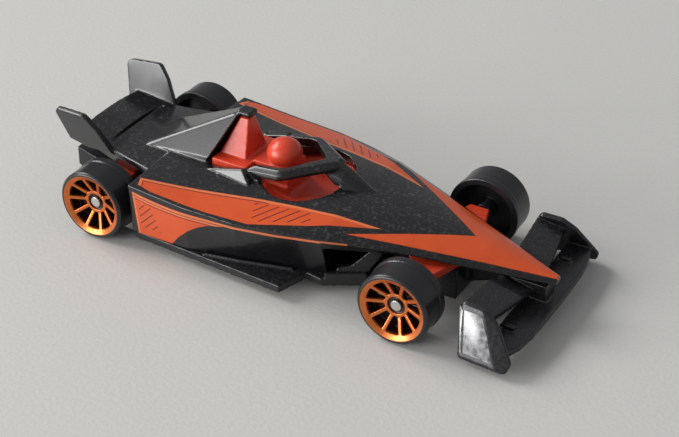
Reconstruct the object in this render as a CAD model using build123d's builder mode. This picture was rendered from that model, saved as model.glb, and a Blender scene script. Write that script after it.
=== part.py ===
from build123d import *
import os

# Pocket-size die-cast toy of an open-wheel single-seater, in millimetres.
# +X is forward, +Y is the car's left, +Z is up, and the wheels stand on z = 0.
# The origin is on the floor below the middle of the overall length.

# Wheels and axles
WHEELBASE = 47.0
WHEELBASE_MIDDLE_X = -2.75
ROLLING_RADIUS = 5.2
TYRE_RADIUS = 5.05
ROLLING_BAND_WIDTH = 1.1
WHEEL_WIDTH = 4.8
WHEEL_FACE_Y = 15.7
TYRE_EDGE = 0.55
RIM_LIP = 0.65
RIM_DEPTH = 0.4
HUB_DEPTH = 1.3
FACE_THICKNESS = 0.8
WEB_THICKNESS = 0.5
TYRE_WALL = 0.75
TYRE_BEVEL = 0.3
HUB_RADIUS = 1.25
HUB_RING_WIDTH = 0.45
HUB_SINK = 0.35
SPOKES = 10
SPOKE_WIDTH = 0.5
AXLE_RADIUS = 0.5
AXLE_HEAD_RADIUS = 0.75
AXLE_HEAD_LENGTH = 0.35
RUNNING_CLEARANCE = 0.05
SIDE_PLAY = 0.1

# Stack of base, insert and body
FLOOR_BOTTOM = 1.2
FLOOR_THICKNESS = 1.1
PLATE_THICKNESS = 1.15
CLEARANCE = 0.05
WALL = 1.2
TUB_TOP = 9.0

# Rivet posts of the casting, which hold the base on
POST_RADIUS = 1.2
POST_HEAD_RADIUS = 1.8
POST_HEAD_THICKNESS = 0.5

# Thin forms
FIN_THICKNESS = 0.8
FIN_CORNER = 1.0
ENDPLATE_THICKNESS = 1.0
ENDPLATE_CORNER = 0.7
ENDPLATE_BEVEL = 0.35
FLAP_THICKNESS = 0.9
MAIN_PLANE_BOTTOM = 2.2
MAIN_PLANE_THICKNESS = 1.0
KEEL_HALF_WIDTH = 1.4
BARGEBOARD_THICKNESS = 0.8
VANE_TIER_HEIGHT = 0.8
VANE_TIER_WIDTH = 0.8
RIB_HEIGHT = 0.35
RIB_WIDTH = 0.35
RIB_GAP = 0.25
HALO_BEND = 2.5
HALO_FACET = 0.6
PAD_TOP = 11.0
PAD_CORNER = 0.7
HELMET_RADIUS = 2.5
SPINE_HALF_WIDTH = 3.4
ARM_TIP_GAP = 1.1

# Heights and places that follow from the sizes above
axle_z = ROLLING_RADIUS
floor_top = FLOOR_BOTTOM + FLOOR_THICKNESS
carrier_top = axle_z + AXLE_RADIUS + CLEARANCE
plate_top = carrier_top + PLATE_THICKNESS
front_x = WHEELBASE / 2
rear_x = -WHEELBASE / 2
wheel_inner_y = WHEEL_FACE_Y - WHEEL_WIDTH
hub_face_y = WHEEL_FACE_Y - HUB_DEPTH
axle_seat_y = hub_face_y - HUB_SINK + SIDE_PLAY
rim_radius = TYRE_RADIUS - TYRE_EDGE
# Length of a cut that passes right through the car
through = WHEELBASE

# Sidepod hull: x, (half width, height) of floor, shoulder and edge, crown height
SIDEPODS = [
    (rear_x + 5.8, (14.1, floor_top), (14.6, 9.9), (13.0, 10.0), 10.4),
    (-8.5, (14.0, floor_top), (14.6, 9.2), (12.8, 9.55), 10.7),
    (-1.0, (12.4, floor_top), (14.2, 9.05), (12.4, 9.5), 11.0),
    (4.6, (10.8, floor_top), (13.1, 9.05), (11.5, 9.6), 11.1),
    (10.5, (9.1, floor_top), (11.4, 9.0), (10.0, 9.8), 10.9),
]

# Nose: x, (half width, height) of underside, shoulder and edge, crown height
NOSE = [
    (10.5, (10.3, plate_top), (11.4, 9.0), (10.0, 9.8), 10.9),
    (front_x - 3.5, (6.1, plate_top), (8.0, 8.3), (6.95, 8.9), 9.9),
    (front_x + 6.5, (2.6, 6.3), (4.4, 7.1), (3.75, 7.75), 8.6),
    (front_x + 15.9, (0.4, 5.7), (0.95, 5.95), (0.6, 6.55), 6.75),
]

# Tail deck: x, (half width, height) of underside, shoulder and edge, crown height
TAIL = [
    (rear_x + 5.8, (8.6, plate_top), (9.7, 9.0), (9.4, 9.6), 10.3),
    (rear_x - 1.5, (6.9, plate_top), (7.8, 8.9), (7.7, 9.6), 10.2),
    (rear_x - 8.3, (6.8, 9.3), (7.3, 9.9), (7.3, 10.4), 11.0),
]

# Engine cover: x, (half width, height) of foot, hip and ridge
COVER = [
    (rear_x + 1.8, (4.7, 9.6), (4.6, 10.1), (4.45, 10.25)),
    (-8.2, (5.0, 9.6), (4.95, 11.6), (0.9, 17.6)),
]
# Foot of the cover's leaning front edge: x, z
COVER_FRONT_FOOT = (-11.0, 11.4)

# Roll hoop cap: (x, z) of its centre, then length, width and height
HOOP_CENTRE = (-7.7, 17.25)
HOOP_SIZE = (2.4, 2.2, 0.9)
HOOP_BEVEL = 0.3

# Cockpit opening, left half: x, y
COCKPIT = [(-11.0, 4.8), (-1.8, 4.8), (-1.0, 6.4), (1.3, 7.3), (3.1, 7.2), (4.7, 6.5), (6.7, 5.0), (7.6, 3.3),
           (7.9, 1.0)]

# Polished pad behind each foot of the halo, left side in plan: x, y
PAD = [(-9.3, 5.2), (-3.6, 5.2), (-3.2, 7.0), (-8.2, 7.1)]

# Halo bar in plan, left half from foot to tip and back along its inside: x, y
HALO_OUTER = [(-4.2, 5.6), (1.2, 5.9), (7.4, 0.9)]
HALO_INNER = [(-4.2, 4.4), (0.6, 4.5), (4.6, 0.4)]
# Halo from the side, foot first: x, z
HALO_SIDE = [(-4.2, 10.0), (-2.6, 10.0), (-2.3, 11.3), (7.4, 12.9), (7.4, 14.2), (-3.4, 12.5), (-4.2, 12.0)]

# Fairing from the halo tip down to the cowl: x, (half width, height) of foot, flank and ridge
FAIRING = [
    (5.4, (1.6, 12.3), (1.5, 12.8), (0.8, 13.8)),
    (8.2, (1.8, 10.3), (1.5, 12.0), (0.7, 13.0)),
    (12.4, (0.9, 9.8), (0.7, 10.3), (0.3, 10.7)),
]

# Place on the left fin, x, y and z, then how far the sheet moves out as it rises and as it runs forward
FIN_PLACE = (rear_x - 1.5, 7.7, 9.5)
FIN_SLOPE = (0.32, 0.07)
# Left fin in its own sheet from that place, foot first: along, up
FIN = [(-8.0, -0.3), (-4.8, -0.9), (0.0, -0.2), (-1.8, 3.6), (-3.4, 5.7), (-9.2, 5.3)]

# Rivet posts: x and the height where the post runs into the casting
POSTS = [(-14.5, 9.8), (14.5, plate_top + WALL)]

# Floor outline, left half: x, y
FLOOR = [
    (rear_x - 6.0, 8.0),
    (rear_x - 4.5, 9.2),
    (rear_x + 6.3, 9.2),
    (rear_x + 6.3, 13.9),
    (6.5, 15.0),
    (7.9, 10.3),
    (10.4, 10.7),
    (15.5, 7.5),
    (front_x - 5.0, 4.2),
    (front_x + 3.6, 4.2),
]

# Axle carriers of the base: axle x, half width, half length
CARRIERS = [(front_x, 4.2, 3.6), (rear_x, 9.2, 3.6)]

# Upper tier of the left vane, its line in plan: x, y
VANE_TIER = [(10.6, 10.1), (15.3, 7.1)]
# Part of the floor, rear and front x, where a low rib runs along the foot of each sidepod
RIB = (-6.0, 6.2)
# Bargeboard standing on the left vane of the floor: its line in plan, then its side view from the foot up
BARGEBOARD_LINE = [(11.6, 8.6), (17.2, 5.4)]
BARGEBOARD = [(11.6, FLOOR_BOTTOM), (14.4, FLOOR_BOTTOM), (16.9, 5.6), (16.9, 6.6), (15.8, 6.6), (13.4, 3.9),
              (11.6, 3.4)]

# Diffuser behind the rear axle, side view: x, z
DIFFUSER = [(rear_x - 3.5, FLOOR_BOTTOM), (rear_x - 9.2, 4.4), (rear_x - 9.2, 7.3), (rear_x - 3.5, carrier_top)]
DIFFUSER_HALF_WIDTH = 6.3
# Channels along the diffuser's underside: y of the middle and width
CHANNELS = [(-4.1, 2.8), (0.0, 2.8), (4.1, 2.8)]
CHANNEL_DEPTH = 1.2

# Keel under the nose down to the main plane, side view: x, z
KEEL = [(front_x + 3.5, 2.4), (front_x + 8.0, 4.2), (front_x + 11.2, 4.2), (front_x + 12.4, MAIN_PLANE_BOTTOM + 0.3),
        (front_x + 15.1, MAIN_PLANE_BOTTOM + 0.3), (front_x + 14.8, 5.55), (front_x + 3.5, 5.55)]
# Main plane of the front wing, left half: x, y
MAIN_PLANE = [(front_x + 11.8, 13.7), (front_x + 15.0, 13.7), (front_x + 15.9, 11.2), (front_x + 16.3, 8.0),
              (front_x + 16.4, 1.5)]
# Place on the left endplate, x, y and z, then how far it moves out as it rises and as it runs forward
ENDPLATE_PLACE = (front_x + 9.5, 12.0, 7.1)
ENDPLATE_SLOPE = (-0.43, 0.06)
# Left endplate in its own sheet from that place: along, up
ENDPLATE = [(-0.35, -6.85), (6.3, -6.8), (6.75, -5.2), (3.8, -1.0), (1.7, 0.4), (-1.75, 0.5)]
# Left flap: y, then (x, top z) of its rear and front edges
FLAP = [
    (1.4, (front_x + 8.4, 5.5), (front_x + 13.0, 4.6)),
    (4.6, (front_x + 8.3, 6.4), (front_x + 12.9, 5.4)),
    (12.3, (front_x + 7.7, 6.9), (front_x + 11.6, 5.9)),
]

# Arms of the insert: axle x, half length at the root and at the tip
ARMS = [(front_x, 3.4, 1.4), (rear_x, 3.0, 1.4)]
ARM_ROOT_Y = 3.0
ARM_CLEAR_LENGTH = 3.6

# Tub of the insert: rear x, front x and half width, then its basin
TUB = (-11.6, 8.6, 7.8)
BASIN = (0.4, 7.4, 6.7)
BASIN_FLOOR = 7.6
BASIN_CORNER = 3.2
BASIN_ROUNDING = 1.2
# Headrest: height, (rear x, front x) and half width, from skirt to top
HEADREST = [(11.3, (-10.6, -6.3), 2.7), (16.6, (-8.3, -6.9), 0.85)]
SKIRT = (-10.7, -5.2, 4.5)
SKIRT_TOP = 11.3
HELMET_CENTRE = (-1.7, 12.8)
TORSO = (-5.3, 0.3, 2.4)
TORSO_TOP = 11.6

os.makedirs("parts", exist_ok=True)


def plan(z):
    """Horizontal plane at height z, with x from the middle of the wheelbase."""
    return Plane((WHEELBASE_MIDDLE_X, 0, z))


def across(x):
    """Plane across the car at x from the middle of the wheelbase, drawn in y and z."""
    return Plane((WHEELBASE_MIDDLE_X + x, 0, 0), x_dir=(0, 1, 0), z_dir=(1, 0, 0))


def along(y):
    """Upright plane along the car at y, drawn in x and z."""
    return Plane((WHEELBASE_MIDDLE_X, y, 0), x_dir=(1, 0, 0), z_dir=(0, -1, 0))


def leaning(place, slope):
    """Plane of a sheet on the left side, drawn along the car and up the sheet."""
    x, y, z = place
    rise, run = slope
    return Plane((WHEELBASE_MIDDLE_X + x, y, z), x_dir=(1, run, 0), z_dir=(run, -1, rise))


def outline(points, mode=Mode.ADD):
    """Face with straight sides through the points."""
    Polygon(*points, align=None, mode=mode)


def mirrored_outline(points, mode=Mode.ADD):
    """Face from the points of its left half and their mirror images."""
    outline(points + [(x, -y) for x, y in reversed(points)], mode)


def crowned_section(low, shoulder, edge, crown):
    """Section across the car: flat bottom, side, shoulder, bevel and crowned top."""
    left = [edge, shoulder, low]
    right = [(-y, z) for y, z in reversed(left)]
    sides = Wire.make_polygon(left + right, close=False)
    top = Edge.make_three_point_arc(right[-1], (0, crown), edge)
    make_face([*sides.edges(), top])


def double_sided(points):
    """Face across the car from the points of its left side and their mirror images."""
    outline(points + [(-y, z) for y, z in reversed(points)])


def rectangle_between(x_start, x_end, half_width):
    """Rectangle between two places along the car, equal on both sides."""
    outline([(x_start, half_width), (x_end, half_width), (x_end, -half_width), (x_start, -half_width)])


def sidepod_foot(x):
    """Half width of the sidepods' foot at x, straight between their sections."""
    sections = [(section_x, low[0]) for section_x, low, *_ in SIDEPODS]
    for (x_rear, y_rear), (x_front, y_front) in zip(sections, sections[1:]):
        if x <= x_front:
            return y_rear + (y_front - y_rear) * (x - x_rear) / (x_front - x_rear)


def upright_strip(start, end, thickness):
    """Thin four-sided face along the line from start to end, drawn in plan."""
    line = Vector(*end) - Vector(*start)
    side = Vector(-line.Y, line.X).normalized() * (thickness / 2)
    corners = [Vector(*start) + side, Vector(*end) + side, Vector(*end) - side, Vector(*start) - side]
    outline([(corner.X, corner.Y) for corner in corners])


# Engine cover: a wedge with a flat top, cut back by the leaning face behind the headrest
with BuildPart() as cover:
    for x, *corners in COVER:
        with BuildSketch(across(x)):
            double_sided(corners)
    loft(ruled=True)
    foot_x, foot_z = COVER_FRONT_FOOT
    top_x, (_, top_z) = COVER[-1][0], COVER[-1][-1]
    cover_front = Plane(
        (WHEELBASE_MIDDLE_X + foot_x, 0, foot_z), x_dir=(0, 1, 0), z_dir=(top_z - foot_z, 0, foot_x - top_x)
    )
    split(bisect_by=cover_front, keep=Keep.BOTTOM)

# Halo: a pointed bar drawn in plan and trimmed to its rising side view
with BuildPart() as halo:
    with BuildSketch(plan(floor_top)) as halo_plan:
        mirrored_outline(HALO_OUTER)
        mirrored_outline(HALO_INNER, Mode.SUBTRACT)
        bends = halo_plan.vertices().filter_by_position(Axis.X, HALO_INNER[1][0], HALO_OUTER[1][0])
        fillet(bends, HALO_BEND)
    extrude(amount=through)
    with BuildSketch(along(0)):
        outline(HALO_SIDE)
    extrude(amount=through, both=True, mode=Mode.INTERSECT)
    bar_top = halo.faces().filter_by(lambda face: face.normal_at().Z > 0.9).sort_by(SortBy.AREA)[-1]
    between_feet = Vector(WHEELBASE_MIDDLE_X + HALO_OUTER[0][0], 0, 0)
    outer_sides = halo.faces().filter_by(
        lambda face: abs(face.normal_at().Z) < 0.1 and face.normal_at().dot(face.center() - between_feet) > 0.1
    )
    chamfer(bar_top.edges().filter_by(lambda edge: edge in outer_sides.edges()), HALO_FACET)

# Left fin: a flat sheet that leans out, with rounded upper corners
with BuildPart() as fin:
    with BuildSketch(leaning(FIN_PLACE, FIN_SLOPE)) as fin_sheet:
        outline(FIN)
        fillet(fin_sheet.vertices().sort_by(Axis.Y)[-3:], FIN_CORNER)
    extrude(amount=FIN_THICKNESS / 2, both=True)

# Body: the die-cast upper shell with nose, tail deck, cover, halo and fins
with BuildPart() as body:
    for x, *sizes in SIDEPODS:
        with BuildSketch(across(x)):
            crowned_section(*sizes)
    loft(ruled=True)
    cavity = [
        (x, (low[0] - WALL, low[1] - WALL), (shoulder[0] - WALL, shoulder[1] - WALL / 2),
         (edge[0] - WALL / 2, edge[1] - WALL), crown - WALL)
        for x, low, shoulder, edge, crown in SIDEPODS
    ]
    cavity[0] = (cavity[0][0] + WALL, *cavity[0][1:])
    cavity[-1] = (cavity[-1][0] - WALL, *cavity[-1][1:])
    for x, *sizes in cavity:
        with BuildSketch(across(x)):
            crowned_section(*sizes)
    loft(ruled=True, mode=Mode.SUBTRACT)
    for x, *sizes in NOSE:
        with BuildSketch(across(x)):
            crowned_section(*sizes)
    loft(ruled=True)
    for x, *sizes in TAIL:
        with BuildSketch(across(x)):
            crowned_section(*sizes)
    loft(ruled=True)
    with BuildSketch(plan(floor_top)):
        rectangle_between(rear_x, front_x, SPINE_HALF_WIDTH + CLEARANCE)
        rectangle_between(front_x - ARM_CLEAR_LENGTH, front_x + ARM_CLEAR_LENGTH, WHEEL_FACE_Y)
    extrude(amount=plate_top - floor_top, mode=Mode.SUBTRACT)
    add(cover.part)
    with BuildSketch(plan(plate_top)):
        mirrored_outline(COCKPIT)
    extrude(amount=SKIRT_TOP - plate_top, mode=Mode.SUBTRACT)
    with Locations((WHEELBASE_MIDDLE_X + HOOP_CENTRE[0], 0, HOOP_CENTRE[1])):
        hoop = Box(*HOOP_SIZE, mode=Mode.PRIVATE)
    add(hoop.chamfer(HOOP_BEVEL, None, hoop.edges()))
    add(halo.part)
    with BuildSketch(plan(PAD_TOP - WALL)) as pads:
        outline(PAD)
        outline([(x, -y) for x, y in reversed(PAD)])
        fillet(pads.vertices(), PAD_CORNER)
    extrude(amount=WALL)
    for x, *corners in FAIRING:
        with BuildSketch(across(x)):
            double_sided(corners)
    loft(ruled=True)
    add(fin.part)
    add(mirror(fin.part, about=Plane.XZ, mode=Mode.PRIVATE))
    for x, top in POSTS:
        with BuildSketch(plan(FLOOR_BOTTOM + CLEARANCE)):
            with Locations((x, 0)):
                Circle(POST_RADIUS)
        extrude(amount=top - FLOOR_BOTTOM - CLEARANCE)
        with BuildSketch(plan(FLOOR_BOTTOM + CLEARANCE)):
            with Locations((x, 0)):
                Circle(POST_HEAD_RADIUS)
        extrude(amount=POST_HEAD_THICKNESS)
body.part.label = "body"
export_step(body.part, "parts/body.step")

# Left half of the front wing: bevelled endplate and flap
with BuildPart() as half_wing:
    with BuildSketch(leaning(ENDPLATE_PLACE, ENDPLATE_SLOPE)) as sheet:
        outline(ENDPLATE)
        fillet(sheet.vertices(), ENDPLATE_CORNER)
    extrude(amount=ENDPLATE_THICKNESS / 2, both=True)
    outer_face = half_wing.faces().sort_by(SortBy.AREA)[-2:].sort_by(Axis.Y)[-1]
    chamfer(outer_face.edges(), ENDPLATE_BEVEL)
    for y, rear, front in FLAP:
        with BuildSketch(along(y)):
            bottom = [(x, z - FLAP_THICKNESS) for x, z in (front, rear)]
            outline([rear, front] + bottom)
    loft(ruled=True)

# Left bargeboard: an upright wall trimmed to its side view
with BuildPart() as bargeboard:
    with BuildSketch(plan(FLOOR_BOTTOM)):
        upright_strip(*BARGEBOARD_LINE, BARGEBOARD_THICKNESS)
    extrude(amount=through)
    with BuildSketch(along(0)):
        outline(BARGEBOARD)
    extrude(amount=through, both=True, mode=Mode.INTERSECT)

# Left rails of the floor: the vane's upper tier and the rib along the sidepod's foot
with BuildPart() as rails:
    with BuildSketch(plan(floor_top)):
        upright_strip(*VANE_TIER, VANE_TIER_WIDTH)
    extrude(amount=VANE_TIER_HEIGHT)
    with BuildSketch(plan(floor_top)):
        rib_start, rib_end = RIB
        rib_x = [rib_start] + [x for x, *_ in SIDEPODS if rib_start < x < rib_end] + [rib_end]
        foot = [(x, sidepod_foot(x) + RIB_GAP) for x in rib_x]
        outline(foot + [(x, y + RIB_WIDTH) for x, y in reversed(foot)])
    extrude(amount=RIB_HEIGHT)

# Base: floor, axle carriers, diffuser, keel, bargeboards, rails and front wing in one moulding
with BuildPart() as base:
    with BuildSketch(plan(FLOOR_BOTTOM)):
        mirrored_outline(FLOOR)
    extrude(amount=FLOOR_THICKNESS)
    for x, half_width, half_length in CARRIERS:
        with BuildSketch(plan(FLOOR_BOTTOM)):
            rectangle_between(x - half_length, x + half_length, half_width)
        extrude(amount=carrier_top - FLOOR_BOTTOM)
    with BuildSketch(along(0)):
        outline(DIFFUSER)
    extrude(amount=DIFFUSER_HALF_WIDTH, both=True)
    slope_start, slope_end = DIFFUSER[:2]
    for y, width in CHANNELS:
        with BuildSketch(along(y)):
            outline([
                slope_start, slope_end, (slope_end[0], slope_end[1] + CHANNEL_DEPTH),
                (slope_start[0], slope_start[1] + CHANNEL_DEPTH),
            ])
        extrude(amount=width / 2, both=True, mode=Mode.SUBTRACT)
    with BuildSketch(along(0)):
        outline(KEEL)
    extrude(amount=KEEL_HALF_WIDTH, both=True)
    with BuildSketch(plan(MAIN_PLANE_BOTTOM)):
        mirrored_outline(MAIN_PLANE)
    extrude(amount=MAIN_PLANE_THICKNESS)
    for left in (half_wing.part, bargeboard.part, rails.part):
        add(left)
        add(mirror(left, about=Plane.XZ, mode=Mode.PRIVATE))
    for x, half_width, half_length in CARRIERS:
        with BuildSketch(along(0)):
            with Locations((x, axle_z)):
                Circle(AXLE_RADIUS + CLEARANCE)
            with Locations((x, carrier_top)):
                Rectangle(2 * (AXLE_RADIUS + CLEARANCE), 2 * (AXLE_RADIUS + CLEARANCE))
        extrude(amount=through, both=True, mode=Mode.SUBTRACT)
    for x, top in POSTS:
        with Locations((WHEELBASE_MIDDLE_X + x, 0, FLOOR_BOTTOM)):
            Cylinder(POST_HEAD_RADIUS + CLEARANCE, 2 * (POST_HEAD_THICKNESS + CLEARANCE), mode=Mode.SUBTRACT)
            Cylinder(POST_RADIUS + CLEARANCE, through, mode=Mode.SUBTRACT)
base.part.label = "base"
export_step(base.part, "parts/base.step")

# Basin in front of the driver: a shallow bowl with a rounded floor, cut from the tub
with BuildPart() as basin:
    with BuildSketch(plan(BASIN_FLOOR)):
        rectangle_between(*BASIN)
    extrude(amount=TUB_TOP)
    fillet(basin.edges().filter_by(Axis.Z).sort_by(Axis.X)[-2:], BASIN_CORNER)
    fillet(basin.faces().sort_by(Axis.Z)[0].edges(), BASIN_ROUNDING)

# Insert: suspension arms, tub, headrest and helmet in one moulding
with BuildPart() as insert:
    with BuildSketch(plan(carrier_top)):
        rectangle_between(rear_x - 3.0, front_x + 3.4, SPINE_HALF_WIDTH)
        for x, root, tip in ARMS:
            tip_y = wheel_inner_y - ARM_TIP_GAP
            mirrored_outline([(x - root, ARM_ROOT_Y), (x - tip, tip_y), (x + tip, tip_y), (x + root, ARM_ROOT_Y)])
    extrude(amount=PLATE_THICKNESS)
    with BuildSketch(plan(carrier_top)):
        rectangle_between(*TUB)
    extrude(amount=TUB_TOP - carrier_top)
    add(basin.part, mode=Mode.SUBTRACT)
    with BuildSketch(plan(carrier_top)):
        rectangle_between(*SKIRT)
    extrude(amount=SKIRT_TOP - carrier_top)
    with BuildSketch(plan(carrier_top)):
        rectangle_between(*TORSO)
    extrude(amount=TORSO_TOP - carrier_top)
    for z, (x_rear, x_front), half_width in HEADREST:
        with BuildSketch(plan(z)):
            rectangle_between(x_rear, x_front, half_width)
    loft(ruled=True)
    with Locations((WHEELBASE_MIDDLE_X + HELMET_CENTRE[0], 0, HELMET_CENTRE[1])):
        Sphere(HELMET_RADIUS)
    for x, top in POSTS:
        with Locations((WHEELBASE_MIDDLE_X + x, 0, plate_top)):
            Cylinder(POST_RADIUS + CLEARANCE, through, mode=Mode.SUBTRACT)
insert.part.label = "insert"
export_step(insert.part, "parts/insert.step")

# Axles: steel wire with a flared head outside each hub
for name, x in (("axle_front", front_x), ("axle_rear", rear_x)):
    with BuildPart() as axle:
        with BuildSketch(along(0)):
            with Locations((x, axle_z)):
                Circle(AXLE_RADIUS)
        extrude(amount=axle_seat_y, both=True)
        for side in (-1, 1):
            with BuildSketch(along(side * (axle_seat_y + AXLE_HEAD_LENGTH / 2))):
                with Locations((x, axle_z)):
                    Circle(AXLE_HEAD_RADIUS)
            extrude(amount=AXLE_HEAD_LENGTH / 2, both=True)
    axle.part.label = name
    export_step(axle.part, f"parts/{name}.step")

# Wheels: one moulding each, with tyre, rim, dished spokes over a closed web, and hub tube
bore_radius = AXLE_RADIUS + RUNNING_CLEARANCE
hub_ring_radius = HUB_RADIUS + HUB_RING_WIDTH
rim_inside = rim_radius - RIM_LIP
web_front = HUB_DEPTH + FACE_THICKNESS
web_back = web_front + WEB_THICKNESS
WHEELS = [("wheel_front_left", front_x, 1), ("wheel_front_right", front_x, -1),
          ("wheel_rear_left", rear_x, 1), ("wheel_rear_right", rear_x, -1)]
for name, x, side in WHEELS:
    wheel_x = WHEELBASE_MIDDLE_X + x
    turning_axis = Axis((wheel_x, 0, axle_z), (0, 1, 0))
    with BuildPart() as wheel:
        with BuildSketch(Plane((wheel_x, side * WHEEL_FACE_Y, axle_z), x_dir=(1, 0, 0), z_dir=(0, 0, side))):
            inner = TYRE_RADIUS - TYRE_WALL
            band = -WHEEL_WIDTH + ROLLING_BAND_WIDTH
            outline([
                (rim_radius, 0), (TYRE_RADIUS - TYRE_BEVEL, 0), (TYRE_RADIUS, -TYRE_BEVEL), (TYRE_RADIUS, band),
                (ROLLING_RADIUS, band), (ROLLING_RADIUS, -WHEEL_WIDTH), (inner, -WHEEL_WIDTH), (inner, -web_back),
                (HUB_RADIUS, -web_back), (HUB_RADIUS, -WHEEL_WIDTH), (bore_radius, -WHEEL_WIDTH),
                (bore_radius, -HUB_DEPTH - HUB_SINK), (HUB_RADIUS, -HUB_DEPTH - HUB_SINK),
                (HUB_RADIUS, -HUB_DEPTH), (hub_ring_radius, -HUB_DEPTH), (rim_inside, -RIM_DEPTH),
            ])
        revolve(axis=turning_axis)
        with BuildSketch(Plane((wheel_x, side * WHEEL_FACE_Y, axle_z), x_dir=(1, 0, 0), z_dir=(0, -side, 0))):
            Circle(rim_inside)
            Circle(hub_ring_radius, mode=Mode.SUBTRACT)
            with PolarLocations(0, SPOKES):
                with Locations((rim_inside / 2, 0)):
                    Rectangle(rim_inside, SPOKE_WIDTH, mode=Mode.SUBTRACT)
        extrude(amount=web_front, mode=Mode.SUBTRACT)
    wheel.part.label = name
    export_step(wheel.part, f"parts/{name}.step")
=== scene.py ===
import math

import bpy
from mathutils import Matrix, Vector


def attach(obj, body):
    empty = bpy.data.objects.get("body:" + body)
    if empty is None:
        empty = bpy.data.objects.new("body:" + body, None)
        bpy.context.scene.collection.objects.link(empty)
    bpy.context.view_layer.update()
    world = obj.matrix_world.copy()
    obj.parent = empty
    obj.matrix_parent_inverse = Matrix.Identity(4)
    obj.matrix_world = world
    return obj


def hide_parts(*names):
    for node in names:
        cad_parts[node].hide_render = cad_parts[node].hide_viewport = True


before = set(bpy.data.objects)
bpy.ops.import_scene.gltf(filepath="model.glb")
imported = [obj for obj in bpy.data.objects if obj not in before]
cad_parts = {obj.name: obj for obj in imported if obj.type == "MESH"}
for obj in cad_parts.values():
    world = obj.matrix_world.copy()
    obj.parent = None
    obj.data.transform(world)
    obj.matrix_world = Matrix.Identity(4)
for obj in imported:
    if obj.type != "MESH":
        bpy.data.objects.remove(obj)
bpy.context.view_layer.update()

# Base moulding: floor, axle carriers, diffuser, bargeboards and the whole front wing in black ABS.
# It is one injection moulding whose edges are all a little round, so its CAD solid is copied,
# rebuilt in fine cells and smoothed. The casting's rivets hold it to the body.
MM = 0.001
MERGE_DISTANCE = 0.002


def only(piece):
    """Selects one object alone and makes it the active one."""
    bpy.ops.object.select_all(action="DESELECT")
    piece.select_set(True)
    bpy.context.view_layer.objects.active = piece


def apply_all(piece):
    """Applies every modifier of a piece, in order."""
    only(piece)
    for modifier in list(piece.modifiers):
        bpy.ops.object.modifier_apply(modifier=modifier.name)


def cut_away(piece, cutter):
    """Cuts the cutter's shape out of a piece and removes the cutter."""
    cut = piece.modifiers.new("cut", "BOOLEAN")
    cut.operation = "DIFFERENCE"
    cut.object = cutter
    apply_all(piece)
    bpy.data.objects.remove(cutter)


def mirrored(vector, side):
    """The vector on the left side, or its mirror image on the right."""
    return Vector((vector[0], side * vector[1], vector[2]))


def block(name, low, high, side=1, cuts=()):
    """Box between two corners in millimetres, or its mirror image where side is -1.

    It is trimmed by planes, each a point and the normal of the side that is cut away.
    The planes are not mirrored here.
    """
    bpy.ops.object.select_all(action="DESELECT")
    centre = mirrored([(a + b) / 2 * MM for a, b in zip(low, high)], side)
    size = [(b - a) * MM for a, b in zip(low, high)]
    bpy.ops.mesh.primitive_cube_add(size=1, location=centre, scale=size)
    piece = bpy.context.object
    piece.name = name
    bpy.ops.object.transform_apply(location=True, rotation=True, scale=True)
    bpy.ops.object.mode_set(mode="EDIT")
    for point, normal in cuts:
        bpy.ops.mesh.select_all(action="SELECT")
        bpy.ops.mesh.bisect(
            plane_co=[p * MM for p in point], plane_no=normal, use_fill=True, clear_outer=True)
    bpy.ops.object.mode_set(mode="OBJECT")
    return piece


def rounded_copy(node_name, name, cell, passes, share, swells=(), grooves=()):
    """Copy of a CAD solid with every edge rounded: cell is in millimetres, share is the faces kept.

    Swells are closed blocks that melt into the copy, and grooves are blocks that are cut out of it.
    """
    piece = bpy.data.objects.new(name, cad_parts[node_name].data.copy())
    bpy.context.scene.collection.objects.link(piece)
    piece.data.materials.clear()
    only(piece)
    bpy.ops.object.mode_set(mode="EDIT")
    bpy.ops.mesh.select_all(action="SELECT")
    bpy.ops.mesh.remove_doubles(threshold=MERGE_DISTANCE * MM)
    bpy.ops.object.mode_set(mode="OBJECT")
    for groove in grooves:
        cut_away(piece, groove)
    for swell in swells:
        swell.select_set(True)
    if swells:
        bpy.ops.object.join()
    cells = piece.modifiers.new("cells", "REMESH")
    cells.mode = "VOXEL"
    cells.voxel_size = cell * MM
    soften = piece.modifiers.new("soften", "SMOOTH")
    soften.factor = 0.5
    soften.iterations = passes
    thin = piece.modifiers.new("thin", "DECIMATE")
    thin.ratio = share
    apply_all(piece)
    bpy.ops.object.shade_smooth()
    return piece


def linear(code):
    """Linear colour of an sRGB hex value."""
    parts = [int(code[i:i + 2], 16) / 255 for i in (1, 3, 5)]
    return [p / 12.92 if p <= 0.04045 else ((p + 0.055) / 1.055) ** 2.4 for p in parts] + [1.0]


def add(tree, kind, settings, links=()):
    """Adds a node: settings give its own properties or open inputs, links the sources of its other inputs.

    In a colour mix, input 0 is the factor, 6 and 7 are the colours and output 2 is the result.
    In a map range, inputs 1 and 2 are the range read, and 3 and 4 the range given.
    """
    node = tree.nodes.new(kind)
    for key, value in dict(settings).items():
        if isinstance(key, str) and key in node.bl_rna.properties:
            setattr(node, key, value)
        else:
            node.inputs[key].default_value = value
    for key, source in dict(links).items():
        tree.links.new(source, node.inputs[key])
    return node


def new_material(name):
    """Material with an empty tree, its object coordinates in millimetres, and its output."""
    material = bpy.data.materials.new(name)
    material.use_nodes = True
    tree = material.node_tree
    tree.nodes.clear()
    place = add(tree, "ShaderNodeTexCoord", {}).outputs["Object"]
    place = add(tree, "ShaderNodeVectorMath", {"operation": "SCALE", "Scale": 1 / MM}, {0: place})
    output = add(tree, "ShaderNodeOutputMaterial", {})
    return material, tree, place.outputs[0], output


# Fence on the left of the wing's main plane: low corner and high corner
FENCE_LOW, FENCE_HIGH = (33.15, 8.525, 2.9), (34.85, 9.275, 3.75)
fences = [block("fence", FENCE_LOW, FENCE_HIGH, side) for side in (1, -1)]

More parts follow.
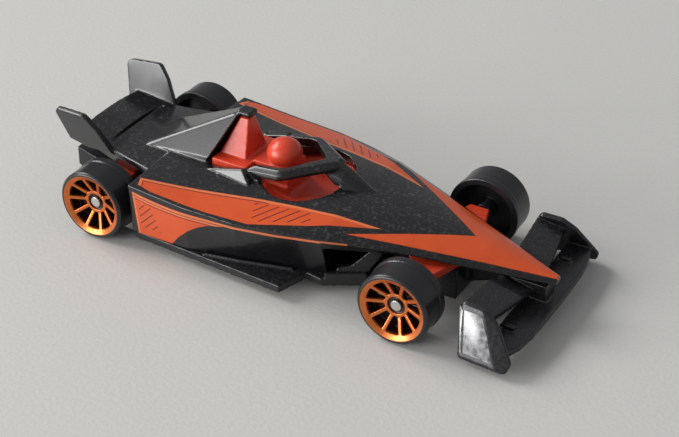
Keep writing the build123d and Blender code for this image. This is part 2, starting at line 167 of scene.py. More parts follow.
# Sheet of the left endplate: a place on it, its directions, and how far out its outer face lies
SHEET_PLACE = Vector((30.25, 12.0, 7.1))
SHEET_ALONG = Vector((1, 0.06, 0)).normalized()
SHEET_OUT = Vector((-0.06, 1, 0.43)).normalized()
SHEET_UP = -SHEET_OUT.cross(SHEET_ALONG)
ENDPLATE_FACE = 0.5

# Wide bevel along the front of the outer face: where it starts on the sheet, which way it falls, and its box
BEVEL_START = (1.85, -0.4)
BEVEL_AHEAD = Vector((0.883, 0.470))
BEVEL_ANGLE = math.radians(15)
BEVEL_LOW, BEVEL_HIGH = (29.5, 10.5, -0.5), (38.5, 17.5, 8.5)


def on_sheet(along, up, out):
    """Place on the left endplate's sheet, in millimetres."""
    return SHEET_PLACE + along * SHEET_ALONG + up * SHEET_UP + out * SHEET_OUT


bevel_ahead = BEVEL_AHEAD.x * SHEET_ALONG + BEVEL_AHEAD.y * SHEET_UP
bevel_out = math.cos(BEVEL_ANGLE) * SHEET_OUT + math.sin(BEVEL_ANGLE) * bevel_ahead
bevel_place = on_sheet(*BEVEL_START, ENDPLATE_FACE)
bevels = []
for side in (1, -1):
    cuts = [(mirrored(bevel_place, side), -mirrored(bevel_out, side))]
    bevels.append(block("bevel", BEVEL_LOW, BEVEL_HIGH, side, cuts))
base = rounded_copy("base", "base_moulding", cell=0.12, passes=5, share=0.25, swells=fences, grooves=bevels)

# Black ABS straight from a fairly smooth mould: a dark semi-gloss with a faint flow pattern about
# 0.6 mm across, and grey dust about 0.2 mm across that has settled on what faces up.
black_abs, tree, place, output = new_material("black_abs_moulded")
flow = add(tree, "ShaderNodeTexNoise", {"Scale": 1 / 0.6, "Detail": 5.0}, {"Vector": place}).outputs["Fac"]
specks = add(tree, "ShaderNodeTexNoise", {"Scale": 1 / 0.2, "Detail": 2.0}, {"Vector": place}).outputs["Fac"]
dust = add(tree, "ShaderNodeMapRange", {1: 0.60, 2: 0.70}, {0: specks}).outputs[0]
normal = add(tree, "ShaderNodeNewGeometry", {}).outputs["Normal"]
facing = add(tree, "ShaderNodeSeparateXYZ", {}, {0: normal}).outputs["Z"]
upward = add(tree, "ShaderNodeMapRange", {1: 0.2, 2: 0.9, 3: 0.05, 4: 0.30}, {0: facing}).outputs[0]
dust = add(tree, "ShaderNodeMath", {"operation": "MULTIPLY"}, {0: dust, 1: upward}).outputs[0]
tone = add(tree, "ShaderNodeMix", {"data_type": "RGBA", 6: linear("#131315"), 7: linear("#232326")},
           {0: flow})
tone = add(tree, "ShaderNodeMix", {"data_type": "RGBA", 7: linear("#8C8984")}, {0: dust, 6: tone.outputs[2]})
gloss = add(tree, "ShaderNodeMapRange", {1: 0.3, 2: 0.7, 3: 0.24, 4: 0.40}, {0: flow})
bump = add(tree, "ShaderNodeBump", {"Strength": 0.3, "Distance": 0.02 * MM}, {"Height": flow})
shader = add(tree, "ShaderNodeBsdfPrincipled", {"IOR": 1.53},
             {"Base Color": tone.outputs[2], "Roughness": gloss.outputs[0], "Normal": bump.outputs[0]})
tree.links.new(shader.outputs[0], output.inputs[0])
base.data.materials.append(black_abs)
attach(base, "car")
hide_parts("base")

# Endplate panels: the raised field and the rear rail on each endplate's outer face, in the same black ABS.
# They stand a tenth of a millimetre proud with a groove between them, and the rail has an ejector pin's
# mark. Each is a block trimmed by planes square to the endplate's leaning sheet.
PANEL_BACK, PANEL_FRONT = 0.2, 0.6
PANEL_FIELD = [(-0.80, -0.60), (0.45, -5.85), (4.55, -5.95), (3.05, -2.8), (1.65, -0.5)]
PANEL_RAIL = [(-1.50, -0.25), (-0.05, -5.95), (0.25, -5.95), (-0.98, -0.65)]
PANEL_EDGE = 0.05
SMOOTH_ANGLE = math.radians(40)
BLOCK_SPARE = 1.0
PIN_MARK = (-1.15, -0.75)
PIN_RADIUS = 0.16
PIN_HEIGHT = 0.1

# Polished black ABS: the wing's outer faces come from the polished part of the mould, so they mirror the
# window, broken up by sink marks about 0.8 mm across. Pale grey patches of the same size are painted into its
# colour as a painted reflection of the window.
# The IOR and the paler colour are raised to match how bright the panels are in the photo.
polished_abs_painted_glare, tree, place, output = new_material("black_abs_polished_painted_glare")
sink_and_glare_noise = add(tree, "ShaderNodeTexNoise", {"Scale": 1 / 0.8, "Detail": 4.0}, {"Vector": place}).outputs["Fac"]
# Painted reflection: the grey to pale grey patches in the base colour stand in for the window's glare on the
# panels.
painted_glare = add(tree, "ShaderNodeMapRange", {1: 0.36, 2: 0.62}, {0: sink_and_glare_noise}).outputs[0]
tone = add(tree, "ShaderNodeMix", {"data_type": "RGBA", 6: linear("#4E4E52"), 7: linear("#96969A")},
           {0: painted_glare})
gloss = add(tree, "ShaderNodeMapRange", {1: 0.3, 2: 0.7, 3: 0.22, 4: 0.44}, {0: sink_and_glare_noise})
bump = add(tree, "ShaderNodeBump", {"Strength": 0.7, "Distance": 0.05 * MM}, {"Height": sink_and_glare_noise})
shader = add(tree, "ShaderNodeBsdfPrincipled", {"IOR": 1.75, "Coat Weight": 1.0, "Coat Roughness": 0.26},
             {"Base Color": tone.outputs[2], "Roughness": gloss.outputs[0], "Normal": bump.outputs[0]})
tree.links.new(shader.outputs[0], output.inputs[0])

for side, side_name in ((1, "left"), (-1, "right")):
    for outline, part_name in ((PANEL_FIELD, "field"), (PANEL_RAIL, "rail")):
        planes = [(on_sheet(0, 0, PANEL_FRONT), SHEET_OUT), (on_sheet(0, 0, PANEL_BACK), -SHEET_OUT)]
        for start, stop in zip(outline, outline[1:] + outline[:1]):
            run = (Vector(stop) - Vector(start)).normalized()
            planes.append((on_sheet(*start, 0), run.y * SHEET_ALONG - run.x * SHEET_UP))
        corners = [on_sheet(*corner, out) for corner in outline for out in (PANEL_BACK, PANEL_FRONT)]
        low = [min(values) - BLOCK_SPARE for values in zip(*corners)]
        high = [max(values) + BLOCK_SPARE for values in zip(*corners)]
        cuts = [(mirrored(point, side), mirrored(normal, side)) for point, normal in planes]
        panel_piece = block(f"endplate_{part_name}_{side_name}", low, high, side, cuts)
        if part_name == "rail":
            bpy.ops.mesh.primitive_cylinder_add(
                vertices=24, radius=PIN_RADIUS * MM, depth=PIN_HEIGHT * MM,
                location=mirrored(on_sheet(*PIN_MARK, PANEL_FRONT), side) * MM,
                rotation=mirrored(SHEET_OUT, side).to_track_quat("Z", "Y").to_euler())
            cut_away(panel_piece, bpy.context.object)
        edge = panel_piece.modifiers.new("edge", "BEVEL")
        edge.width = PANEL_EDGE * MM
        edge.segments = 2
        apply_all(panel_piece)
        bpy.ops.object.shade_smooth_by_angle(angle=SMOOTH_ANGLE)
        panel_piece.data.materials.append(polished_abs_painted_glare)
        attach(panel_piece, "car")

# Axles: two steel wires laid in the slots of the base, each end flared to a flat bright head.
# They are drawn wire, so they shine, a little dulled where the flaring tool struck the heads.
# Drawn steel: a bright metal that is patchy in tone and gloss, in a grain about 0.25 mm across.
drawn_steel, tree, place, output = new_material("drawn_steel_wire")
grain = add(tree, "ShaderNodeTexNoise", {"Scale": 1 / 0.25, "Detail": 3.0}, {"Vector": place}).outputs["Fac"]
gloss = add(tree, "ShaderNodeMapRange", {3: 0.22, 4: 0.42}, {0: grain})
tone = add(tree, "ShaderNodeMix", {"data_type": "RGBA", 6: linear("#B9B7B4"), 7: linear("#DCDAD6")},
           {0: grain})
shader = add(tree, "ShaderNodeBsdfPrincipled", {"Metallic": 1.0},
             {"Base Color": tone.outputs[2], "Roughness": gloss.outputs[0]})
tree.links.new(shader.outputs[0], output.inputs[0])
for end in ("front", "rear"):
    wire = rounded_copy(f"axle_{end}", f"axle_{end}_wire", cell=0.06, passes=2, share=0.5)
    wire.data.materials.append(drawn_steel)
    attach(wire, "car")
    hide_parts(f"axle_{end}")

# Wheels: one black ABS moulding each, with tyre, rolling band and ten dished spokes over a closed web.
# The raised face is hot-stamped with orange metallic foil, which stops at the hub's sunk bore and
# thins out down the sides of the spokes, leaving a dark red haze in the recesses.
AXLE_X = {"front": 20.75, "rear": -26.25}
AXLE_Z = 5.2
WHEEL_FACE_Y = 15.7
FOIL_RADIUS = 4.48
FOIL_EDGE = 0.06
FOIL_RAGGED = 0.25
FOIL_METAL = 0.75
BORE_RADIUS = 1.22
BORE_EDGE = 0.05
WEB_MIDDLE_DEPTH = 2.35

# Dish of the spokes: radius and depth below the tyre's face, at the hub and at the rim
DISH_HUB, DISH_RIM = (1.7, 1.3), (3.85, 0.4)

# Foil on black ABS: warm metal on what is raised, worn in patches about 0.4 mm across,
# and satin black elsewhere.
for end, wheel_x in AXLE_X.items():
    stamped, tree, place, output = new_material(f"orange_foil_on_black_abs_{end}")
    centred = add(tree, "ShaderNodeVectorMath", {"operation": "SUBTRACT", 1: (wheel_x, 0, AXLE_Z)},
                  {0: place})
    flat = add(tree, "ShaderNodeVectorMath", {"operation": "MULTIPLY", 1: (1, 0, 1)}, {0: centred.outputs[0]})
    radius = add(tree, "ShaderNodeVectorMath", {"operation": "LENGTH"}, {0: flat.outputs[0]}).outputs["Value"]
    y = add(tree, "ShaderNodeSeparateXYZ", {}, {0: place}).outputs["Y"]
    y = add(tree, "ShaderNodeMath", {"operation": "ABSOLUTE"}, {0: y}).outputs[0]
    depth = add(tree, "ShaderNodeMath", {"operation": "SUBTRACT", 0: WHEEL_FACE_Y}, {1: y}).outputs[0]
    dish = add(tree, "ShaderNodeMapRange", {1: DISH_HUB[0], 2: DISH_RIM[0], 3: DISH_HUB[1], 4: DISH_RIM[1]},
               {0: radius}).outputs[0]
    below = add(tree, "ShaderNodeMath", {"operation": "SUBTRACT"}, {0: depth, 1: dish}).outputs[0]
    worn = add(tree, "ShaderNodeTexNoise", {"Scale": 1 / 0.4, "Detail": 5.0},
               {"Vector": place}).outputs["Fac"]
    ragged = add(tree, "ShaderNodeMath", {"operation": "MULTIPLY_ADD", 1: FOIL_RAGGED}, {0: worn, 2: below})
    raised = add(tree, "ShaderNodeMapRange", {1: 0.30, 2: 0.46, 3: 1.0, 4: 0.0}, {0: ragged.outputs[0]})
    in_rim = add(tree, "ShaderNodeMapRange", {1: FOIL_RADIUS, 2: FOIL_RADIUS + FOIL_EDGE, 3: 1.0, 4: 0.0},
                 {0: radius}).outputs[0]
    out_bore = add(tree, "ShaderNodeMapRange", {1: BORE_RADIUS, 2: BORE_RADIUS + BORE_EDGE}, {0: radius})
    foil = add(tree, "ShaderNodeMath", {"operation": "MULTIPLY"}, {0: raised.outputs[0], 1: in_rim})
    foil = add(tree, "ShaderNodeMath", {"operation": "MULTIPLY"},
               {0: foil.outputs[0], 1: out_bore.outputs[0]}).outputs[0]
    warm = add(tree, "ShaderNodeMix", {"data_type": "RGBA", 6: linear("#C85C26"), 7: linear("#E48A4C")},
               {0: worn})
    plastic = add(tree, "ShaderNodeMix", {"data_type": "RGBA", 6: linear("#141416"), 7: linear("#27272A")},
                  {0: worn})
    outside = add(tree, "ShaderNodeMath", {"operation": "LESS_THAN", 1: WEB_MIDDLE_DEPTH}, {0: depth})
    haze = add(tree, "ShaderNodeMath", {"operation": "MULTIPLY"}, {0: in_rim, 1: outside.outputs[0]})
    plastic = add(tree, "ShaderNodeMix", {"data_type": "RGBA", 7: linear("#2C120C")},
                  {0: haze.outputs[0], 6: plastic.outputs[2]})
    tone = add(tree, "ShaderNodeMix", {"data_type": "RGBA"},
               {0: foil, 6: plastic.outputs[2], 7: warm.outputs[2]})
    metal = add(tree, "ShaderNodeMath", {"operation": "MULTIPLY", 1: FOIL_METAL}, {0: foil})
    bump = add(tree, "ShaderNodeBump", {"Strength": 0.2, "Distance": 0.03 * MM}, {"Height": worn})
    shader = add(tree, "ShaderNodeBsdfPrincipled", {"IOR": 1.53, "Roughness": 0.30},
                 {"Base Color": tone.outputs[2], "Metallic": metal.outputs[0], "Normal": bump.outputs[0]})
    tree.links.new(shader.outputs[0], output.inputs[0])
    for side_name in ("left", "right"):
        name = f"wheel_{end}_{side_name}"
        wheel = rounded_copy(name, f"{name}_moulding", cell=0.085, passes=2, share=0.5)
        wheel.data.materials.append(stamped)
        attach(wheel, name)
        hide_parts(name)

# Insert moulding: suspension arms, cockpit tub, headrest and driver in red-orange ABS.
# It is clamped between the base and the body, and shows in the cockpit and beside the nose.
# A rounded hollow is cut into the tub on each side of the driver.
BOWL_CENTRE, BOWL_SIZE = Vector((-0.6, 0.0, 9.7)), Vector((5.8, 7.3, 2.3))
BESIDE_DRIVER = 2.9
hollows = []
for side in (1, -1):
    bpy.ops.object.select_all(action="DESELECT")
    bpy.ops.mesh.primitive_uv_sphere_add(
        segments=64, ring_count=32, radius=1, location=BOWL_CENTRE * MM, scale=BOWL_SIZE * MM)
    hollow = bpy.context.object
    bpy.ops.object.transform_apply(location=True, rotation=True, scale=True)
    bpy.ops.object.mode_set(mode="EDIT")
    bpy.ops.mesh.select_all(action="SELECT")
    bpy.ops.mesh.bisect(
        plane_co=(0, side * BESIDE_DRIVER * MM, 0), plane_no=(0, -side, 0), use_fill=True, clear_outer=True)
    bpy.ops.object.mode_set(mode="OBJECT")
    hollows.append(hollow)
insert = rounded_copy("insert", "insert_moulding", cell=0.12, passes=6, share=0.25, grooves=hollows)

# The helmet sits a little lower and flatter than a ball
HELMET_CENTRE, HELMET_RADIUS = Vector((-4.45, 0.0, 12.8)), 2.6
HELMET_FOOT_Z = 10.9
HELMET_SQUASH = 0.88
only(insert)
for vertex in insert.data.vertices:
    on_helmet = (vertex.co / MM - HELMET_CENTRE).length < HELMET_RADIUS
    vertex.select = on_helmet and vertex.co.z > HELMET_FOOT_Z * MM
bpy.ops.object.mode_set(mode="EDIT")
bpy.ops.mesh.select_mode(type="VERT")
bpy.ops.transform.resize(value=(1, 1, HELMET_SQUASH), center_override=(0, 0, HELMET_FOOT_Z * MM))
bpy.ops.object.mode_set(mode="OBJECT")

# Red ABS coloured in the mass: a soft satin sheen, paler and darker in flow marks about 0.8 mm across.
red_abs, tree, place, output = new_material("red_abs_moulded")
flow = add(tree, "ShaderNodeTexNoise", {"Scale": 1 / 0.8, "Detail": 4.0}, {"Vector": place}).outputs["Fac"]
tone = add(tree, "ShaderNodeMix", {"data_type": "RGBA", 6: linear("#D03A22"), 7: linear("#DE4C30")},
           {0: flow})
gloss = add(tree, "ShaderNodeMapRange", {1: 0.3, 2: 0.7, 3: 0.26, 4: 0.40}, {0: flow})
bump = add(tree, "ShaderNodeBump", {"Strength": 0.25, "Distance": 0.02 * MM}, {"Height": flow})
shader = add(tree, "ShaderNodeBsdfPrincipled", {"IOR": 1.53},
             {"Base Color": tone.outputs[2], "Roughness": gloss.outputs[0], "Normal": bump.outputs[0]})
tree.links.new(shader.outputs[0], output.inputs[0])
insert.data.materials.append(red_abs)
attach(insert, "car")
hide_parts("insert")

# Body casting: the die-cast zinc upper shell with nose, tail deck, cover, halo and fins in black enamel.
# The thick enamel rounds every edge. A bolster rises beside the cockpit on each side, and a groove
# crosses the deck. Orange bands are pad-printed on the sidepods and the nose.
GROOVE_LOW, GROOVE_HIGH = (-29.45, -6.2, 9.75), (-28.95, 6.2, 12.0)
OPENING_CENTRE, OPENING_SIZE = Vector((-0.6, 0.0, 9.45)), Vector((5.9, 7.45, 3.2))
groove = block("groove", GROOVE_LOW, GROOVE_HIGH)
bpy.ops.object.select_all(action="DESELECT")
bpy.ops.mesh.primitive_cylinder_add(
    vertices=96, radius=1, depth=1, location=OPENING_CENTRE * MM, scale=OPENING_SIZE * MM)
opening = bpy.context.object
bpy.ops.object.transform_apply(location=True, rotation=True, scale=True)

# Left bolster: box, crest and the normals of its three facets.
# The casting's flat pad is cut back to the first facet inside the pad's box.
BOLSTER_LOW, BOLSTER_HIGH = (-13.6, 5.0, 10.0), (-5.6, 7.2, 12.5)
BOLSTER_CREST = (-7.5, 6.1, 12.1)
BOLSTER_FACETS = [(-0.128, 0.873, 0.471), (-0.26, -0.25, 0.93), (0.66, 0.0, 0.75)]
PAD_LOW, PAD_HIGH = (-12.8, 5.0, 10.45), (-5.9, 7.8, 12.6)
bolsters = []
trims = []
for side in (1, -1):
    crest = mirrored(BOLSTER_CREST, side)
    cuts = [(crest, mirrored(normal, side)) for normal in BOLSTER_FACETS]
    bolsters.append(block("bolster", BOLSTER_LOW, BOLSTER_HIGH, side, cuts))
    trims.append(block("trim", PAD_LOW, PAD_HIGH, side, [(crest, -mirrored(BOLSTER_FACETS[0], side))]))

# Facet along the cover's left ridge: box to cut in, a place on the ridge, normal and depth
RIDGE_LOW, RIDGE_HIGH = Vector((-24.6, 0.2, 10.2)), Vector((-11.7, 5.2, 17.2))
RIDGE_PLACE = Vector((-17.7, 2.675, 13.925))
RIDGE_NORMAL = Vector((-0.321, 0.4725, 0.821)).normalized()
RIDGE_DEPTH = 0.12
ridge_spot = RIDGE_PLACE - RIDGE_DEPTH * RIDGE_NORMAL
for side in (1, -1):
    cuts = [(mirrored(ridge_spot, side), -mirrored(RIDGE_NORMAL, side))]
    trims.append(block("trim", RIDGE_LOW, RIDGE_HIGH, side, cuts))
body = rounded_copy("body", "body_casting", cell=0.11, passes=9, share=0.2, swells=bolsters,
                    grooves=[groove, opening, *trims])

# Gloss black enamel with orange ink printed over it, under a thin clear coat: dark mirrors along the edges,
# a dark red fringe where the ink runs out, and grey dust on what faces up.
# The dust is about 0.4 mm across, thicker and thinner in clouds of 1.6 mm.
enamel, tree, place, output = new_material("gloss_black_enamel_printed")
split = add(tree, "ShaderNodeSeparateXYZ", {}, {0: place})
x, z = split.outputs["X"], split.outputs["Z"]
across = add(tree, "ShaderNodeMath", {"operation": "ABSOLUTE"}, {0: split.outputs["Y"]}).outputs[0]
plan = add(tree, "ShaderNodeCombineXYZ", {}, {0: x, 1: across}).outputs[0]
side_view = add(tree, "ShaderNodeCombineXYZ", {}, {0: x, 1: z}).outputs[0]


def overlap(*fields):
    """Print field inside all of the fields."""
    result = fields[0]
    for field in fields[1:]:
        result = add(tree, "ShaderNodeMath", {"operation": "MINIMUM"}, {0: result, 1: field}).outputs[0]
    return result


def either(*fields):
    """Print field inside any of the fields."""
    result = fields[0]
    for field in fields[1:]:
        result = add(tree, "ShaderNodeMath", {"operation": "MAXIMUM"}, {0: result, 1: field}).outputs[0]
    return result


def left_of(view, *corners):
    """Print field left of the straight edges through the corners. Its value is the distance, in mm."""
    fields = []
    for start, stop in zip(corners, corners[1:]):
        run = Vector(stop) - Vector(start)
        normal = Vector((-run.y, run.x)).normalized()
        dot = add(tree, "ShaderNodeVectorMath", {"operation": "DOT_PRODUCT", 1: (*normal, 0)}, {0: view})
        away = add(tree, "ShaderNodeMath", {"operation": "SUBTRACT", 1: normal.dot(Vector(start))},
                   {0: dot.outputs["Value"]})
        fields.append(away.outputs[0])
    return overlap(*fields)


def hatching(view, normal, pitch, width):
    """Print field of parallel lines square to a direction."""
    along = Vector(normal).normalized() / pitch
    turns = add(tree, "ShaderNodeVectorMath", {"operation": "DOT_PRODUCT", 1: (*along, 0)}, {0: view})
    swing = add(tree, "ShaderNodeMath", {"operation": "PINGPONG", 1: 0.5}, {0: turns.outputs["Value"]})
    lines = add(tree, "ShaderNodeMath", {"operation": "MULTIPLY_ADD", 1: -pitch, 2: width / 2},
                {0: swing.outputs[0]})
    return lines.outputs[0]


def line_in(field, near, far):
    """Print field of the line between two distances inside another field's edge."""
    away = add(tree, "ShaderNodeMath", {"operation": "SUBTRACT", 1: (near + far) / 2}, {0: field}).outputs[0]
    away = add(tree, "ShaderNodeMath", {"operation": "ABSOLUTE"}, {0: away}).outputs[0]
    return add(tree, "ShaderNodeMath", {"operation": "SUBTRACT", 0: (far - near) / 2}, {1: away}).outputs[0]


def print_over(under, colour, field, fade=0.05, start=0.0):
    """Colour, a hex value or a node's output, laid over another where the field is past its start."""
    mask = add(tree, "ShaderNodeMapRange", {1: start - fade / 2, 2: start + fade / 2}, {0: field}).outputs[0]
    laid = add(tree, "ShaderNodeMix", {"data_type": "RGBA"}, {0: mask, 6: under})
    if isinstance(colour, str):
        laid.inputs[7].default_value = linear(colour)
    else:
        tree.links.new(colour, laid.inputs[7])
    return laid.outputs[2]


# Sidepod band in plan, above a height in the side view, and nose point in plan, above its lower edge
BAND_INNER = [(-19.3, 13.7), (-19.9, 12.25), (-3.0, 8.75), (13.9, 5.95)]
BAND_OUTER = [(13.9, 5.95), (5.6, 10.3), (-2.1, 13.4), (-8.3, 13.95), (-17.0, 14.1), (-19.3, 13.7)]
BAND_BOTTOM = [(-30.0, 9.0), (30.0, 9.0)]
NOSE_POINT = [(10.3, 9.25), (24.75, 0.0)]
NOSE_EDGE = [(36.6, 0.42), (10.3, 9.2)]
NOSE_BOTTOM = [(7.7, 9.55), (36.7, 6.3)]
band_border = left_of(plan, *BAND_INNER)
band_outer = left_of(plan, *BAND_OUTER)
band = overlap(band_border, band_outer, left_of(side_view, *BAND_BOTTOM))
nose = overlap(left_of(plan, *NOSE_POINT), left_of(plan, *NOSE_EDGE), left_of(side_view, *NOSE_BOTTOM))

# Height above the middle of the flank's pinstripe, which rises slightly ahead of a place
# and sweeps up behind it
SWEEP_X = -12.0
SWEEP = 0.0125
STRIPE_Z = 8.15
STRIPE_RISE = 0.015
along = add(tree, "ShaderNodeMath", {"operation": "SUBTRACT", 1: SWEEP_X}, {0: x}).outputs[0]
ahead = add(tree, "ShaderNodeMath", {"operation": "MAXIMUM", 1: 0.0}, {0: along}).outputs[0]
behind = add(tree, "ShaderNodeMath", {"operation": "MINIMUM", 1: 0.0}, {0: along}).outputs[0]
behind = add(tree, "ShaderNodeMath", {"operation": "MULTIPLY"}, {0: behind, 1: behind}).outputs[0]
height = add(tree, "ShaderNodeMath", {"operation": "MULTIPLY_ADD", 1: -SWEEP}, {0: behind, 2: z}).outputs[0]
height = add(tree, "ShaderNodeMath", {"operation": "MULTIPLY_ADD", 1: -STRIPE_RISE}, {0: ahead, 2: height})
height = add(tree, "ShaderNodeMath", {"operation": "SUBTRACT", 1: STRIPE_Z},
             {0: height.outputs[0]}).outputs[0]

# Pinstripe on the flank, and the panel that hangs below it
STRIPE_HALF = 0.20
STRIPE_FRONT = [(11.1, 2.0), (11.1, 9.0)]
FLANK_REAR = [(-19.75, 9.0), (-19.3, 2.4)]
FLANK_INNER = [(-30.0, 7.0), (20.0, 7.0)]
PANEL_CURVE = [(-13.9, 2.3), (-12.6, 4.0), (-11.0, 5.5), (-9.6, 6.5), (-7.9, 7.35), (-4.5, 8.15)]
PANEL_GAP = 0.32
outboard = left_of(plan, *FLANK_INNER)
panel_rear = left_of(side_view, *FLANK_REAR)
stripe = overlap(
    line_in(height, -STRIPE_HALF, STRIPE_HALF), panel_rear, left_of(side_view, *STRIPE_FRONT), outboard)
panel_top = add(tree, "ShaderNodeMath", {"operation": "SUBTRACT", 0: -PANEL_GAP}, {1: height}).outputs[0]
curve = either(*(left_of(side_view, start, stop) for start, stop in zip(PANEL_CURVE, PANEL_CURVE[1:])))
panel = overlap(panel_top, curve, panel_rear, outboard)

# Hatching on the band and on the panel: direction, pitch and width of the lines,
# and the edges of each hatched field
BAND_LINES, PANEL_LINES = ((0.82, 0.57), 1.05, 0.20), ((0.70, -0.71), 0.85, 0.17)
BAND_HATCH = [[(-1.4, 14.0), (-3.4, 9.0)], [(4.4, 8.0), (7.4, 13.0)]]
PANEL_HATCH = [[(-18.9, 3.6), (-15.4, 3.6)], [(-15.4, 3.2), (-16.9, 7.2)], [(-15.0, 6.9), (-18.9, 7.6)]]
band_hatch = overlap(hatching(plan, *BAND_LINES), *(left_of(plan, *ends) for ends in BAND_HATCH))
panel_hatch = overlap(hatching(side_view, *PANEL_LINES), *(left_of(side_view, *ends) for ends in PANEL_HATCH))

# Black enamel with dust
cloud = add(tree, "ShaderNodeTexNoise", {"Scale": 1 / 1.6, "Detail": 3.0}, {"Vector": place}).outputs["Fac"]
specks = add(tree, "ShaderNodeTexNoise", {"Scale": 1 / 0.4, "Detail": 4.0}, {"Vector": place}).outputs["Fac"]
normal = add(tree, "ShaderNodeNewGeometry", {}).outputs["Normal"]
facing = add(tree, "ShaderNodeSeparateXYZ", {}, {0: normal}).outputs["Z"]
upward = add(tree, "ShaderNodeMapRange", {1: 0.5, 2: 0.95, 3: 0.03, 4: 0.24}, {0: facing}).outputs[0]
thick = add(tree, "ShaderNodeMapRange", {1: 0.35, 2: 0.65, 3: 0.15, 4: 1.0}, {0: cloud}).outputs[0]
dust = add(tree, "ShaderNodeMapRange", {1: 0.52, 2: 0.70}, {0: specks}).outputs[0]
dust = add(tree, "ShaderNodeMath", {"operation": "MULTIPLY"}, {0: dust, 1: upward}).outputs[0]
dust = add(tree, "ShaderNodeMath", {"operation": "MULTIPLY"}, {0: dust, 1: thick}).outputs[0]
black = add(tree, "ShaderNodeMix", {"data_type": "RGBA", 6: linear("#0A0A0C"), 7: linear("#151518")},
            {0: cloud})
black = add(tree, "ShaderNodeMix", {"data_type": "RGBA", 7: linear("#96938F")},
            {0: dust, 6: black.outputs[2]})

# Orange ink, a little uneven, with a pale border and a fine dark line inside the band's and the panel's edges
BORDER = 0.42
BORDER_LINE = 0.16
BORDER_LINE_END = [(-1.5, 0.0), (-1.5, 20.0)]
PANEL_BORDER = 0.30
HATCH_INSET, HATCH_OUTER_INSET, PANEL_HATCH_INSET = 0.75, 0.5, 0.7
PALE, DARK, FRINGE = "#DE7446", "#74220E", "#3E1208"
FRINGE_WIDTH = 0.08
FAR = 30.0
orange = add(tree, "ShaderNodeMix", {"data_type": "RGBA", 6: linear("#CC4818"), 7: linear("#D85620")},
             {0: cloud}).outputs[2]
printed = either(band, nose, stripe, panel)
band_line = overlap(
    band, line_in(band_border, BORDER, BORDER + BORDER_LINE), left_of(plan, *BORDER_LINE_END))
band_hatch = overlap(
    band, band_hatch, line_in(band_border, HATCH_INSET, FAR), line_in(band_outer, HATCH_OUTER_INSET, FAR))
panel_line = overlap(panel, line_in(panel_top, PANEL_BORDER, PANEL_BORDER + BORDER_LINE),
                     line_in(panel_rear, PANEL_BORDER, FAR))
ink = print_over(black.outputs[2], FRINGE, printed, fade=FRINGE_WIDTH, start=-FRINGE_WIDTH)
ink = print_over(ink, orange, printed)
ink = print_over(ink, PALE, stripe)
ink = print_over(ink, PALE, overlap(band, line_in(band_border, -FAR, BORDER)))
ink = print_over(ink, DARK, band_line)
ink = print_over(ink, DARK, band_hatch)
ink = print_over(ink, PALE, overlap(panel, line_in(panel_top, -FAR, PANEL_BORDER)))
ink = print_over(ink, PALE, overlap(panel, line_in(panel_rear, -FAR, PANEL_BORDER)))
ink = print_over(ink, DARK, panel_line)
ink = print_over(ink, DARK, overlap(panel_hatch, line_in(panel_rear, PANEL_HATCH_INSET, FAR)))
shader = add(tree, "ShaderNodeBsdfPrincipled",
             {"IOR": 1.5, "Coat Weight": 0.3, "Coat Roughness": 0.08, "Roughness": 0.28}, {"Base Color": ink})
tree.links.new(shader.outputs[0], output.inputs[0])
body.data.materials.append(enamel)
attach(body, "car")
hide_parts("body")

# Stage: a pale textured table top in a grey room, with the camera of the photo.
# A large soft window stands at the near left, with a dim wall above it and a skylight on the left.
TABLE_SIZE = 1.6
bpy.ops.mesh.primitive_plane_add(size=TABLE_SIZE)
table = bpy.context.object
table.name = "table_top"

# Pale laminate pressed with a fine orange-peel grain about 0.6 mm across, so light breaks up softly on it.
pale, tree, place, output = new_material("pale_laminate")
peel = add(tree, "ShaderNodeTexNoise", {"Scale": 1 / 0.6, "Detail": 2.0}, {"Vector": place}).outputs["Fac"]
tone = add(tree, "ShaderNodeMix", {"data_type": "RGBA", 6: linear("#C8C7C3"), 7: linear("#D0CFCB")},
           {0: peel})
bump = add(tree, "ShaderNodeBump", {"Strength": 0.35, "Distance": 0.08 * MM}, {"Height": peel})
shader = add(tree, "ShaderNodeBsdfPrincipled", {"Roughness": 0.6},
             {"Base Color": tone.outputs[2], "Normal": bump.outputs[0]})
tree.links.new(shader.outputs[0], output.inputs[0])
table.data.materials.append(pale)

world = bpy.data.worlds.new("grey_room")
bpy.context.scene.world = world
world.use_nodes = True
background = world.node_tree.nodes["Background"]
background.inputs["Color"].default_value = linear("#DCDDE0")
background.inputs["Strength"].default_value = 0.42

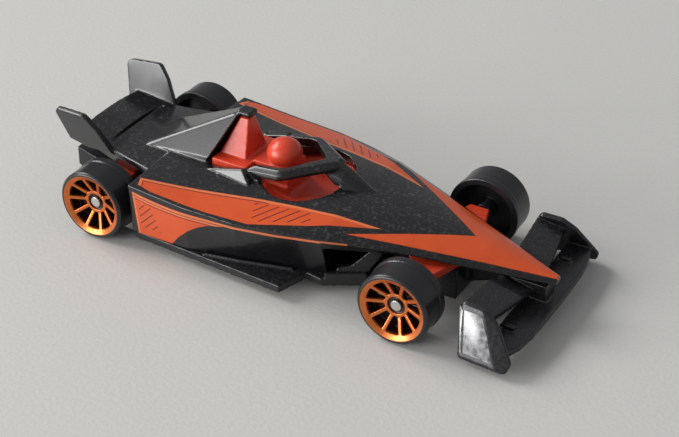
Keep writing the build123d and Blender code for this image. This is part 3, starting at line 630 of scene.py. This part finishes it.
# Lamps: place, place aimed at and size in metres, then watts
LAMPS = [
    ("window", (-0.72, -0.94, 0.27), (0.0, 0.0, 0.27), (0.76, 0.38), 11.0),
    ("wall", (-0.68, -1.00, 0.76), (0.0, 0.0, 0.0), (1.00, 0.52), 2.0),
    ("skylight", (-1.12, -0.08, 0.84), (0.0, 0.0, 0.0), (0.88, 0.60), 15.0),
]
for name, spot, aim, (width, tall), watts in LAMPS:
    lamp = bpy.data.lights.new(name, "AREA")
    lamp.energy = watts
    lamp.shape = "RECTANGLE"
    lamp.size = width
    lamp.size_y = tall
    light = bpy.data.objects.new(name, lamp)
    bpy.context.scene.collection.objects.link(light)
    light.location = spot
    light.rotation_euler = (Vector(aim) - Vector(spot)).to_track_quat("-Z", "Y").to_euler()

# Camera fitted to the photo: the place it looks at, its distance and angles, and its focal length in pixels
TARGET = Vector((4.45, -0.28, 5.0)) * MM
DISTANCE = 217.985 * MM
AZIMUTH, ELEVATION, ROLL = (math.radians(a) for a in (29.309, 32.92, 1.078))
FOCAL_PIXELS = 1595.34
IMAGE_WIDTH = 679
SENSOR_WIDTH = 36.0
NEAR_CLIP = 0.005
reach = math.cos(ELEVATION)
back = Vector((math.sin(AZIMUTH) * reach, -math.cos(AZIMUTH) * reach, math.sin(ELEVATION)))
right = (-back).cross(Vector((0, 0, 1))).normalized()
up = back.cross(right)
turned_right = math.cos(ROLL) * right + math.sin(ROLL) * up
turned_up = math.cos(ROLL) * up - math.sin(ROLL) * right
lens = bpy.data.cameras.new("photo_camera")
lens.sensor_width = SENSOR_WIDTH
lens.lens = FOCAL_PIXELS / IMAGE_WIDTH * SENSOR_WIDTH
lens.clip_start = NEAR_CLIP
camera = bpy.data.objects.new("photo_camera", lens)
bpy.context.scene.collection.objects.link(camera)
turn = Matrix((turned_right, turned_up, back)).transposed().to_4x4()
camera.matrix_world = Matrix.Translation(TARGET + back * DISTANCE) @ turn
bpy.context.scene.camera = camera
bpy.context.scene.view_settings.view_transform = "Standard"
